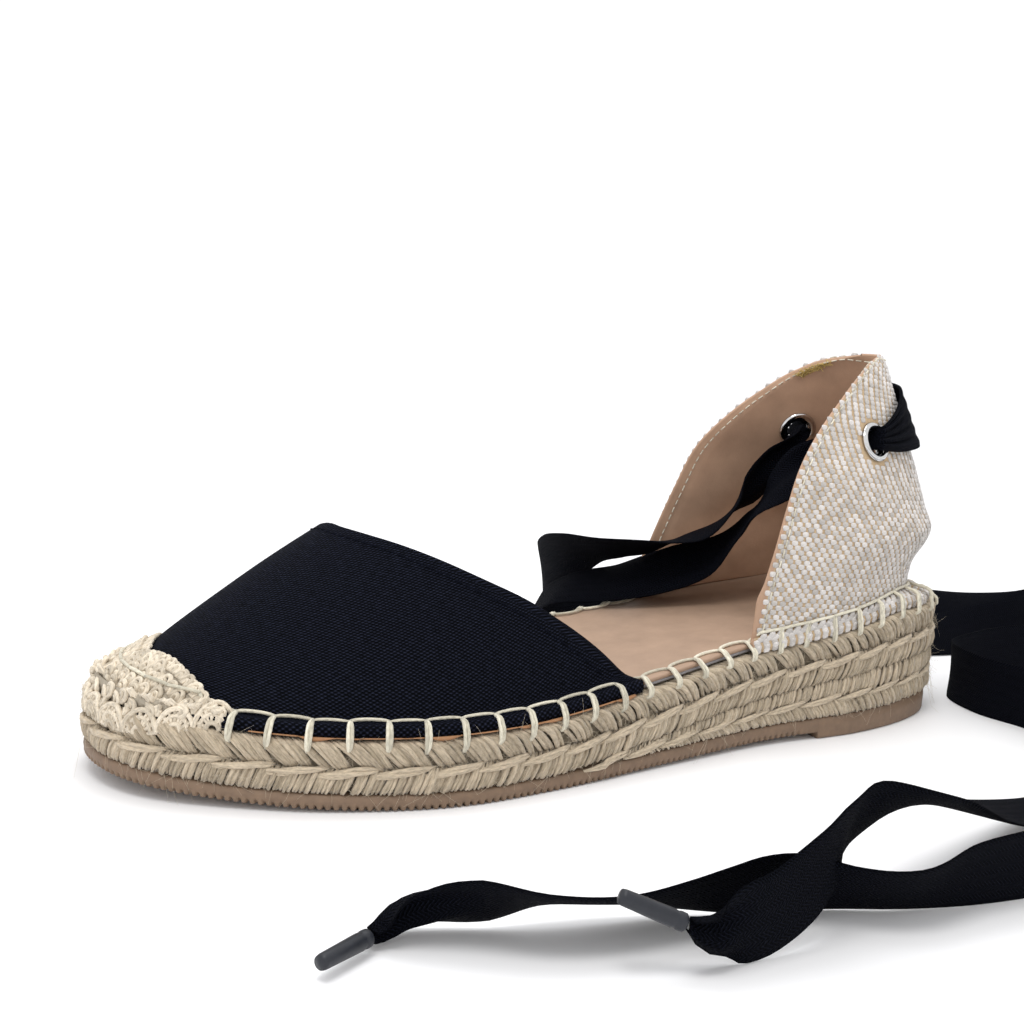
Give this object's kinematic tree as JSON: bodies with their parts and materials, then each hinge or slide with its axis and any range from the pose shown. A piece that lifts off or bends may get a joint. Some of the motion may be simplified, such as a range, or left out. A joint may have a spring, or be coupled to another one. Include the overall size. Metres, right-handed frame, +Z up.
{
  "type": "espadrille shoe",
  "caption": "Empty left espadrille with a braided jute sole, a canvas vamp, an open waist, a high heel quarter and ribbon ankle ties lying loose.",
  "frame": {"origin": "centre of the shoe's box, on the floor plane, laces aside", "axes": "+X from the heel to the toe, +Y to the shoe's left (outer) side, +Z up"},
  "size_m": [0.4154, 0.2423, 0.1076],
  "materials": {
    "rubber": "matt brown crepe",
    "jute": "braided natural jute",
    "crochet": "crocheted natural cord",
    "lining": "smooth tan lining",
    "canvas": "fine black canvas",
    "basketweave": "coarse basketweave, off-white on tan",
    "nickel": "polished nickel",
    "ribbon": "black twill tape",
    "aglet": "satin dark grey"
  },
  "bodies": {
    "root": {"outsole": "rubber", "jute_lift": "jute", "jute_braid": "jute", "insole": "lining", "vamp": "canvas", "toe_cap": "crochet", "heel_quarter": "basketweave", "eyelet_left": "nickel", "eyelet_right": "nickel", "lace_bar": "ribbon", "lace_end_left": "ribbon", "lace_end_right": "ribbon", "aglet_left": "aglet", "aglet_right": "aglet"}
  },
  "joints": []
}
